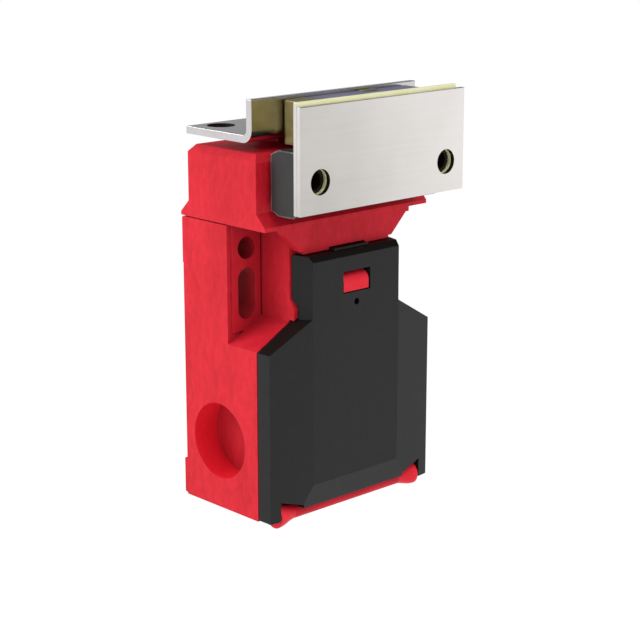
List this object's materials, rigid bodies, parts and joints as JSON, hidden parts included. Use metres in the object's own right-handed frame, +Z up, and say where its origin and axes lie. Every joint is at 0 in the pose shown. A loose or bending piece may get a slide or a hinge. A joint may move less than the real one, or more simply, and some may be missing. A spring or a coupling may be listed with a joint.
{
  "type": "safety interlock switch",
  "caption": "Tongue-operated safety interlock switch with a hinged terminal cover, a screw-on head and a door actuator held by a magnetic latch.",
  "frame": {"origin": "on the mounting plane at the back, midway between the two round mounting holes", "axes": "+X to the right seen from the front, +Y towards the surface the switch is screwed to, +Z up towards the actuator head"},
  "size_m": [0.052, 0.0415, 0.1008],
  "materials": {
    "red_plastic": "fine moulded grain, glass-filled thermoplastic",
    "black_plastic": "fine moulded grain, charcoal",
    "grey_plastic": "smooth moulded dark grey",
    "light_plastic": "smooth moulded ivory",
    "rubber_seal": "soft black",
    "stainless": "satin stainless sheet",
    "steel": "zinc plated",
    "passivated": "yellow passivated zinc",
    "ferrite": "ground magnet",
    "brass_parts": "bright brass"
  },
  "bodies": {
    "base": {"housing": "red_plastic", "head": "red_plastic", "head_gasket": "rubber_seal", "head_screws": "steel", "cam_pin": "steel", "cam_spacers": "light_plastic", "plunger_spring": "steel", "contact_block": "light_plastic", "fixed_contacts": "brass_parts", "terminal_clamps": "steel", "terminal_screws": "steel", "block_screws": "steel", "earth_plate": "brass_parts", "earth_screw": "steel", "guide_bracket": "stainless", "bracket_screw": "steel"},
    "cover": {"cover": "black_plastic", "cover_seal": "rubber_seal"},
    "latch": {"cover_latch": "red_plastic"},
    "cam": {"cam": "light_plastic"},
    "plunger": {"plunger": "light_plastic", "contact_bridge": "brass_parts"},
    "actuator": {"front_plate": "stainless", "backing_plate": "passivated", "actuator_carrier": "grey_plastic", "carrier_screws": "steel", "tongue": "steel", "tongue_pin": "steel", "magnet": "ferrite", "magnet_holder": "passivated"}
  },
  "joints": [
    {"name": "cover_hinge", "type": "hinge", "parent": "base", "child": "cover", "pos_m": [0, -0.0286, -0.062], "axis": [1, 0, 0], "range_deg": [0, 105]},
    {"name": "latch_press", "type": "hinge", "parent": "base", "child": "latch", "pos_m": [0, -0.0256, 0.0024], "axis": [1, 0, 0], "range_deg": [0, 8], "stiffness_Nm_per_rad": 0.005, "springref_deg": -5.73},
    {"name": "actuator_withdraw", "type": "slide", "parent": "base", "child": "actuator", "axis": [0, -1, 0], "range_m": [0, 0.025]},
    {"name": "cam_turn", "type": "hinge", "parent": "base", "child": "cam", "pos_m": [0, -0.0156, 0.0116], "axis": [1, 0, 0], "range_deg": [0, 75]},
    {"name": "plunger_travel", "type": "slide", "parent": "base", "child": "plunger", "axis": [0, 0, -1], "range_m": [0, 0.003], "deforming": ["plunger_spring"]}
  ],
  "couplings": [
    {"joint": "cam_turn", "follows": "actuator_withdraw", "rad_per_m": 52.36},
    {"joint": "plunger_travel", "follows": "actuator_withdraw", "ratio": 0.12}
  ]
}
